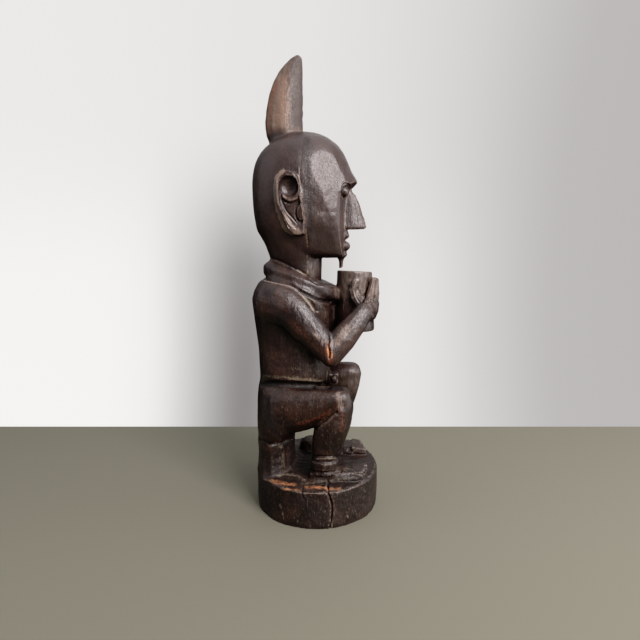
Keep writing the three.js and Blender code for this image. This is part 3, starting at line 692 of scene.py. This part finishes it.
class Nodes:
    """Short calls for building a material's node tree."""

    def __init__(self, material):
        material.use_nodes = True
        self.tree = material.node_tree
        self.shader = next(n for n in self.tree.nodes if n.type == "BSDF_PRINCIPLED")

    def add(self, kind, settings=None, **inputs):
        node = self.tree.nodes.new("ShaderNode" + kind)
        for name, value in (settings or {}).items():
            setattr(node, name, value)
        for name, value in inputs.items():
            numbered = name[0] == "i" and name[1:].isdigit()
            socket = node.inputs[int(name[1:]) if numbered else name]
            if isinstance(value, bpy.types.NodeSocket):
                self.tree.links.new(value, socket)
            else:
                socket.default_value = value
        return node

    def math(self, operation, a, b=0.0, clamp=False):
        return self.add("Math", {"operation": operation, "use_clamp": clamp}, i0=a, i1=b).outputs[0]

    def product(self, first, *others):
        for other in others:
            first = self.math("MULTIPLY", first, other)
        return first

    def vector(self, operation, a, b=(0, 0, 0)):
        return self.add("VectorMath", {"operation": operation}, i0=a, i1=b).outputs[0]

    def measure(self, operation, a, b=(0, 0, 0)):
        return self.add("VectorMath", {"operation": operation}, i0=a, i1=b).outputs[1]

    def ramp(self, value, low, high, out_low=0.0, out_high=1.0):
        """From out_low where the value is low to out_high where it is high."""
        node = self.add("MapRange", {"interpolation_type": "SMOOTHSTEP"}, Value=value)
        ends = {"From Min": low, "From Max": high, "To Min": out_low, "To Max": out_high}
        for name, number in ends.items():
            node.inputs[name].default_value = number
        return node.outputs[0]

    def noise(self, where, scale, detail=3.0, rough=0.55):
        node = self.add("TexNoise", Vector=where, Scale=scale, Detail=detail, Roughness=rough)
        return node.outputs[0]

    def mix(self, share, a, b):
        node = self.add("Mix", {"data_type": "RGBA"})
        for socket, value in ((node.inputs[0], share), (node.inputs[6], a), (node.inputs[7], b)):
            if isinstance(value, bpy.types.NodeSocket):
                self.tree.links.new(value, socket)
            else:
                socket.default_value = value if isinstance(value, float) else (*value, 1.0)[:4]
        return node.outputs[2]

    def near_line(self, where, line):
        """Distance from a line, measured in the forward-up plane."""
        best = None
        for a, b in zip(line, line[1:]):
            start = (a[0], 0, a[1])
            run = (b[0] - a[0], 0, b[1] - a[1])
            off = self.vector("SUBTRACT", where, start)
            length = run[0] ** 2 + run[2] ** 2
            along = self.math("DIVIDE", self.measure("DOT_PRODUCT", off, run), length, True)
            foot = self.add("VectorMath", {"operation": "SCALE"}, i0=run, Scale=along).outputs[0]
            gap = self.measure("LENGTH", self.vector("SUBTRACT", off, foot))
            best = gap if best is None else self.math("MINIMUM", best, gap)
        return best


# Colours of the wood, as linear light
PATINA = (0.0175, 0.0112, 0.011)
PATINA_WARM = (0.043, 0.0242, 0.0196)
# The wood is darker towards the bottom, below the heights in LOW_WOOD
DARKER_BELOW = (0.0088, 0.0048, 0.004)
DARKER_BELOW_WARM = (0.029, 0.0142, 0.0102)
PATINA_HEAD = (0.0305, 0.0205, 0.0195)
PATINA_HEAD_WARM = (0.046, 0.029, 0.0255)
HORN_BACK = (0.175, 0.115, 0.087)
HORN_FRONT = (0.046, 0.033, 0.029)
FLECK = (0.14, 0.105, 0.078)
# Colour of worn wood, also used for the painted highlights
WORN_AND_SHEEN = (0.19, 0.142, 0.12)
BARE = (0.38, 0.16, 0.07)
REDDISH = (0.14, 0.048, 0.026)
DUST = (0.22, 0.18, 0.13)
# The colour of the painted shade and grime
DIRT_AND_SHADE_COLOUR = (0.009, 0.0065, 0.0065)
CRACK = (0.006, 0.003, 0.002)
TAN = (0.24, 0.145, 0.085)

# Where one look of the wood passes into the next, as two heights
LOW_WOOD = (175.0, 120.0)
HEAD_WOOD = (262.0, 305.0)
HORN_WOOD = (414.0, 426.0)

# The swirl in the grain of the cup: its middle forward and up, the cup's rear, foot and rim
SWIRL = (38.0, 262.0)
CUP_REAR = (20.0, 23.0)
CUP_FOOT = (236.0, 244.0)
CUP_RIM = (275.0, 271.0)

# The cracks below the head: line, lowest and highest place, and width
LOWER_CRACKS = [
    (ELBOW_CRACK, 178.0, 206.0, 0.8),
    (BASE_CRACK, -2.0, 44.0, 0.8),
    (BASE_SIDE_CRACK, 30.0, 42.0, 0.5),
]


def cup_swirl(n, forward, up, blotches):
    """How much of the worn colour the rings of the grain have on the cup."""
    lift = n.math("MULTIPLY", n.math("SUBTRACT", up, SWIRL[1]), 0.5)
    from_middle = n.add("CombineXYZ", X=n.math("SUBTRACT", forward, SWIRL[0]), Y=0.0, Z=lift).outputs[0]
    turns = n.math("MULTIPLY", n.measure("LENGTH", from_middle), 1.2)
    rings = n.math("SINE", n.math("ADD", turns, n.math("MULTIPLY", blotches, 11.0)))
    on_cup = n.product(n.ramp(forward, *CUP_REAR), n.ramp(up, *CUP_FOOT), n.ramp(up, *CUP_RIM))
    return n.math("MULTIPLY", n.ramp(rings, -0.6, 1.0, 0.2, 0.44), on_cup)


def cracks(n, forward, right, up, torn):
    """The share of tan wood beside the crack in the head, and of darkness in all the cracks."""
    level = n.add("CombineXYZ", X=forward, Y=0.0, Z=up).outputs[0]
    near = n.ramp(right, 10.0, 14.0)
    head_line = n.near_line(level, HEAD_CRACK)
    split = n.math("MULTIPLY", near, n.ramp(up, 286.0, 292.0))
    beside = n.product(n.ramp(head_line, 0.75, 0.25), split, n.ramp(up, 378.0, 368.0))
    tan = n.math("MULTIPLY", beside, n.ramp(torn, 0.42, 0.56, 0.0, 0.75))
    dark = n.product(n.ramp(head_line, 0.35, 0.1), split, 0.6)
    for line, foot, top, wide in LOWER_CRACKS:
        gap = n.near_line(level, line)
        here = n.product(near, n.ramp(up, foot, foot + 2), n.ramp(up, top, top - 2))
        dark = n.math("MAXIMUM", dark, n.math("MULTIPLY", n.ramp(gap, wide, wide * 0.5), here))
    return tan, dark


def wood_bump(n, place, grain, up):
    """Grain, lumps and scratches too fine for the carved surface, by height."""
    lumps = n.noise(place, 0.18, 2.0, 0.5)
    scratches = n.noise(n.vector("MULTIPLY", place, (1.0, 1.0, 0.3)), 0.6, 2.0, 0.5)
    height = n.math("ADD", n.math("MULTIPLY", grain, 0.34), n.math("MULTIPLY", lumps, 0.8))
    height = n.math("ADD", height, n.math("MULTIPLY", scratches, 0.38))
    on_body = n.ramp(up, 255.0, 300.0, 1.6, 1.1)
    on_base = n.ramp(up, 90.0, 46.0, 1.0, 1.8)
    on_horn = n.ramp(up, 412.0, 424.0, 1.0, 2.0)
    height = n.product(height, on_body, on_base, on_horn)
    return n.add("Bump", Strength=0.5, Distance=0.0008, Height=height).outputs[0]


def wood():
    # Dark wood with wear, dust and grain, and with painted shade and painted highlights from the marks
    material = bpy.data.materials.new("wood_with_painted_light")
    n = Nodes(material)
    raw = n.add("NewGeometry").outputs["Position"]
    parts = n.add("SeparateXYZ", Vector=raw).outputs
    forward = n.math("MULTIPLY", parts[1], -1 / MM)
    right = n.math("MULTIPLY", parts[0], -1 / MM)
    up = n.math("MULTIPLY", parts[2], 1 / MM)
    place = n.add("CombineXYZ", X=forward, Y=right, Z=up).outputs[0]
    fibres = n.vector("MULTIPLY", place, (1.0, 1.0, 0.09))
    fine = n.add("Attribute", {"attribute_name": "relief_fine"}).outputs["Fac"]
    broad = n.add("Attribute", {"attribute_name": "relief_broad"}).outputs["Fac"]

    blotches = n.noise(place, 0.035, 4.0, 0.6)
    speckle = n.noise(place, 0.45, 4.0, 0.65)
    grain = n.noise(fibres, 0.9, 4.0, 0.6)
    streaks = n.noise(fibres, 0.16, 3.0, 0.5)
    flecks = n.noise(n.vector("MULTIPLY", place, (1.0, 1.0, 0.45)), 0.55, 4.0, 0.7)
    torn = n.noise(n.vector("MULTIPLY", place, (0.6, 0.6, 1.5)), 0.3, 5.0, 0.65)
    streaky = n.noise(n.vector("MULTIPLY", place, (1.0, 1.0, 0.16)), 0.7, 4.0, 0.6)
    patchy = n.math("MULTIPLY", n.math("ADD", torn, streaky), 0.5)

    def cover(name, breaks, sharp=0.16):
        """Where a mark shows, broken up by the noise."""
        shade = n.add("Attribute", {"attribute_name": name}).outputs["Fac"]
        return n.ramp(n.math("ADD", shade, breaks), 1 - sharp, 1 + sharp)

    low = n.ramp(up, *LOW_WOOD)
    head = n.ramp(up, *HEAD_WOOD)
    deep = n.mix(head, n.mix(low, PATINA, DARKER_BELOW), PATINA_HEAD)
    warm = n.mix(head, n.mix(low, PATINA_WARM, DARKER_BELOW_WARM), PATINA_HEAD_WARM)
    colour = n.mix(n.ramp(blotches, 0.4, 0.68), deep, warm)
    colour = n.mix(n.math("MULTIPLY", n.ramp(streaks, 0.5, 0.72), 0.36), colour, warm)
    colour = n.mix(n.math("MULTIPLY", n.ramp(grain, 0.56, 0.4), 0.5), colour, deep)
    fleck_share = n.math("MULTIPLY", n.ramp(flecks, 0.56, 0.7), n.ramp(up, 300.0, 60.0, 0.12, 0.48))
    colour = n.mix(fleck_share, colour, FLECK)

    horn = n.ramp(up, *HORN_WOOD)
    colour = n.mix(n.math("MULTIPLY", horn, n.ramp(streaks, 0.3, 0.6, 0.6, 1.0)), colour, HORN_BACK)
    front = n.ramp(n.math("ADD", forward, n.ramp(flecks, 0.35, 0.65, -3.0, 3.0)), -34.0, -23.0)
    tip = n.ramp(up, 470.0, 496.0, 0.0, 0.7)
    front = n.math("MULTIPLY", horn, n.math("MAXIMUM", front, tip))
    colour = n.mix(front, colour, HORN_FRONT)

    colour = n.mix(n.math("MULTIPLY", cover("red", speckle), 0.5), colour, REDDISH)
    edges = n.math("MULTIPLY", n.ramp(fine, 0.12, 0.5), n.ramp(speckle, 0.4, 0.62))
    # Wear and painted highlights from the marks, and wear on raised edges
    handled_and_sheen = n.math("MULTIPLY", cover("worn_and_sheen", streaky), 0.75)
    worn_and_sheen = n.math("MAXIMUM", handled_and_sheen, n.math("MULTIPLY", edges, 0.5))
    # Painted highlight: a grey sheen round the far knee
    far_knee_sheen = n.ramp(n.measure("DISTANCE", place, FAR_KNEE_SHEEN), 24.0, 9.0)
    worn_and_sheen = n.math("MAXIMUM", worn_and_sheen, n.math("MULTIPLY", far_knee_sheen, n.ramp(streaky, 0.35, 0.6, 0.1, 0.4)))
    colour = n.mix(worn_and_sheen, colour, WORN_AND_SHEEN)
    hollows = n.math("MULTIPLY", n.ramp(broad, -0.5, -1.6), n.ramp(speckle, 0.5, 0.7))
    laid = n.math("MULTIPLY", cover("dust", patchy, 0.13), 0.6)
    dusty = n.math("MAXIMUM", n.math("MULTIPLY", hollows, 0.25), laid)
    colour = n.mix(dusty, colour, DUST)
    # Painted shade and grime: these marks darken the wood and make it rougher
    dirt_and_shade_share = n.math("MULTIPLY", cover("dirt_and_shade", speckle), 0.85)
    colour = n.mix(dirt_and_shade_share, colour, DIRT_AND_SHADE_COLOUR)
    bare = n.math("MULTIPLY", cover("bare", torn, 0.2), 0.85)
    colour = n.mix(bare, colour, BARE)
    colour = n.mix(cup_swirl(n, forward, up, blotches), colour, WORN_AND_SHEEN)
    tan, dark = cracks(n, forward, right, up, torn)
    colour = n.mix(tan, colour, TAN)
    colour = n.mix(dark, colour, CRACK)

    rough = n.ramp(blotches, 0.35, 0.65, 0.33, 0.42)
    base = n.ramp(up, 52.0, 42.0)
    for more in (
        n.ramp(up, 150.0, 70.0, 0.0, 0.1),
        n.ramp(speckle, 0.35, 0.7, -0.05, 0.1),
        n.math("MULTIPLY", n.math("MAXIMUM", bare, dusty), 0.3),
        n.math("MULTIPLY", n.math("MAXIMUM", base, horn), 0.12),
        n.math("MULTIPLY", front, 0.12),
        n.math("MULTIPLY", n.math("MAXIMUM", fleck_share, dirt_and_shade_share), 0.26),
    ):
        rough = n.math("ADD", rough, more)

    links = n.tree.links
    links.new(colour, n.shader.inputs["Base Color"])
    links.new(n.math("MINIMUM", rough, 1.0), n.shader.inputs["Roughness"])
    links.new(wood_bump(n, place, grain, up), n.shader.inputs["Normal"])
    n.shader.inputs["IOR"].default_value = 1.5
    return material


def plain(name, colour, rough):
    material = bpy.data.materials.new(name)
    shader = Nodes(material).shader
    shader.inputs["Base Color"].default_value = (*colour, 1)
    shader.inputs["Roughness"].default_value = rough
    return material


figure = carved_piece(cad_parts["horned_figure"])
figure.data.materials.clear()
figure.data.materials.append(wood())
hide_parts("horned_figure")
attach(figure, "root")

camera = bpy.data.objects.new("camera", bpy.data.cameras.new("camera"))
bpy.context.scene.collection.objects.link(camera)
camera.data.sensor_width = 36
camera.data.lens = camera.data.sensor_width * FOCAL / (2 * MIDDLE)
camera.data.clip_start = 0.01
camera.location = CAMERA_AT
camera.rotation_euler = AHEAD.to_track_quat("-Z", "Y").to_euler()
bpy.context.scene.camera = camera


# The table top, in metres: from below the camera to its far edge, half its width, and its thickness
TABLE_FAR = 0.757
TABLE_HALF = 1.6
TABLE_THICK = 0.03


def table_top():
    """A pale table top whose far edge is where the photo's table meets its wall."""
    along = Vector((AHEAD.x, AHEAD.y, 0)).normalized()
    across = Vector((-along.y, along.x, 0))
    start = Vector((CAMERA_AT[0], CAMERA_AT[1], 0))
    far_left, far_right = (TABLE_FAR, -TABLE_HALF), (TABLE_FAR, TABLE_HALF)
    near_right, near_left = (-TABLE_HALF, TABLE_HALF), (-TABLE_HALF, -TABLE_HALF)
    corners = (far_left, far_right, near_right, near_left)
    shell = bmesh.new()
    face = shell.faces.new([shell.verts.new(start + along * a + across * b) for a, b in corners])
    if face.normal.z < 0:
        bmesh.ops.reverse_faces(shell, faces=[face])
    made = bmesh.ops.extrude_face_region(shell, geom=[face])
    lower = [v for v in made["geom"] if isinstance(v, bmesh.types.BMVert)]
    bmesh.ops.translate(shell, vec=(0, 0, -TABLE_THICK), verts=lower)
    bmesh.ops.recalc_face_normals(shell, faces=shell.faces)
    mesh = bpy.data.meshes.new("table_top")
    shell.to_mesh(mesh)
    shell.free()
    top = bpy.data.objects.new("table_top", mesh)
    bpy.context.scene.collection.objects.link(top)
    top.data.materials.append(plain("table_paint", (0.135, 0.13, 0.1), 0.85))


# The lights: name, place, aim, size, power and colour
LIGHTS = [
    ("window", (-0.95, -0.78, 0.99), (0, 0, 0.27), (0.65, 0.95), 32, (1, 0.93, 0.925)),
    ("window_glow", (-1.15, -0.94, 1.15), (0, 0, 0.27), (1.5, 1.5), 10, (1, 0.97, 0.96)),
    ("top_soft", (-0.1, -0.1, 1.5), (0, 0, 0.2), (1.2, 1.2), 3, (1, 1, 1)),
    ("room_behind", (-0.45, 1.1, 0.8), (0, 0, 0.4), (1.2, 1.2), 3.5, (0.96, 0.97, 1)),
    ("room_left", (1.1, -0.2, 1.1), (0, 0, 0.25), (1.4, 1.0), 3, (0.98, 0.98, 1)),
    ("room_ahead", (-0.05, -1.3, 0.4), (0, 0, 0.25), (1.2, 1.0), 11, (1, 0.98, 0.97)),
]


def area_light(name, at, aim, size, power, colour):
    lamp = bpy.data.lights.new(name, "AREA")
    lamp.shape = "RECTANGLE"
    lamp.size, lamp.size_y = size
    lamp.energy = power
    lamp.color = colour
    light = bpy.data.objects.new(name, lamp)
    light.location = at
    light.rotation_euler = (Vector(aim) - Vector(at)).to_track_quat("-Z", "Y").to_euler()
    bpy.context.scene.collection.objects.link(light)


# The room's brightness along a direction, as places from -1 to 1 with their brightness. The wall the camera
# sees is painted brighter to the left and darker to the right, with a painted shadow of the figure low down
# beside it
SKYWARD = Vector((0, 0, 1))
WALL_LOW_SHADOWED = [
    (-0.46, 0.9), (-0.36, 0.88), (-0.3, 0.74), (-0.21, 0.3), (-0.14, 0.2),
    (0.0, 0.6), (0.14, 0.82), (0.24, 0.74), (0.32, 0.66), (0.46, 0.46),
]
WALL_HIGH = [(-0.46, 0.82), (-0.02, 0.77), (0.14, 0.72), (0.3, 0.64), (0.46, 0.46)]
UPPER_SHARE = [(-0.25, 0.0), (0.0, 0.08), (0.11, 0.5), (0.2, 0.85), (0.3, 1.0)]
FILL = [(-1, 0.01), (-0.15, 0.02), (0.2, 0.13), (0.5, 0.21), (1, 0.24)]


def tinted(bright):
    """A grey that is a little warmer where it is darker."""
    share = min(1, bright)
    return (bright, bright * (0.94 + 0.06 * share), bright * (0.92 + 0.07 * share), 1)


def brightness_along(tree, way, direction, steps):
    """The room's light and dark along a direction, as a ramp through the steps."""
    dot = tree.nodes.new("ShaderNodeVectorMath")
    dot.operation = "DOT_PRODUCT"
    tree.links.new(way, dot.inputs[0])
    dot.inputs[1].default_value = direction
    scale = tree.nodes.new("ShaderNodeMapRange")
    scale.inputs["From Min"].default_value = -1
    tree.links.new(dot.outputs["Value"], scale.inputs["Value"])
    ramp = tree.nodes.new("ShaderNodeValToRGB")
    ramp.color_ramp.interpolation = "B_SPLINE"
    for place, bright in steps:
        stop = ramp.color_ramp.elements.new((place + 1) / 2)
        stop.color = tinted(bright)
    for spare in (0, -1):
        ramp.color_ramp.elements[spare].color = tinted(steps[spare][1])
    tree.links.new(scale.outputs[0], ramp.inputs[0])
    return ramp.outputs[0]


def surroundings():
    """A pale room: bright where the camera sees it, with painted shading and a painted shadow of the figure
    on that wall, and dimmer as the light that fills the shadows.
    """
    world = bpy.data.worlds.new("room")
    world.use_nodes = True
    tree = world.node_tree
    tree.nodes.clear()
    way = tree.nodes.new("ShaderNodeTexCoord").outputs["Generated"]
    seen = tree.nodes.new("ShaderNodeBackground")
    wall = tree.nodes.new("ShaderNodeMix")
    wall.data_type = "RGBA"
    tree.links.new(brightness_along(tree, way, SKYWARD, UPPER_SHARE), wall.inputs[0])
    # Low on the wall: the painted shadow of the figure
    tree.links.new(brightness_along(tree, way, ACROSS, WALL_LOW_SHADOWED), wall.inputs[6])
    tree.links.new(brightness_along(tree, way, ACROSS, WALL_HIGH), wall.inputs[7])
    tree.links.new(wall.outputs[2], seen.inputs[0])
    fill = tree.nodes.new("ShaderNodeBackground")
    tree.links.new(brightness_along(tree, way, SKYWARD, FILL), fill.inputs[0])
    path = tree.nodes.new("ShaderNodeLightPath")
    mix = tree.nodes.new("ShaderNodeMixShader")
    out = tree.nodes.new("ShaderNodeOutputWorld")
    tree.links.new(path.outputs["Is Camera Ray"], mix.inputs[0])
    tree.links.new(fill.outputs[0], mix.inputs[1])
    tree.links.new(seen.outputs[0], mix.inputs[2])
    tree.links.new(mix.outputs[0], out.inputs[0])
    bpy.context.scene.world = world


# Light in and light out: deep shadows and full lights, as the photo has them
TONES = [(0.02, 0.007), (0.05, 0.035), (0.12, 0.112), (0.4, 0.42)]


def photographic_tones():
    view = bpy.context.scene.view_settings
    view.view_transform = "Standard"
    view.use_curve_mapping = True
    tones = view.curve_mapping
    for light, shown_as in TONES:
        tones.curves[3].points.new(light, shown_as)
    tones.update()


table_top()
surroundings()
for light in LIGHTS:
    area_light(*light)
photographic_tones()
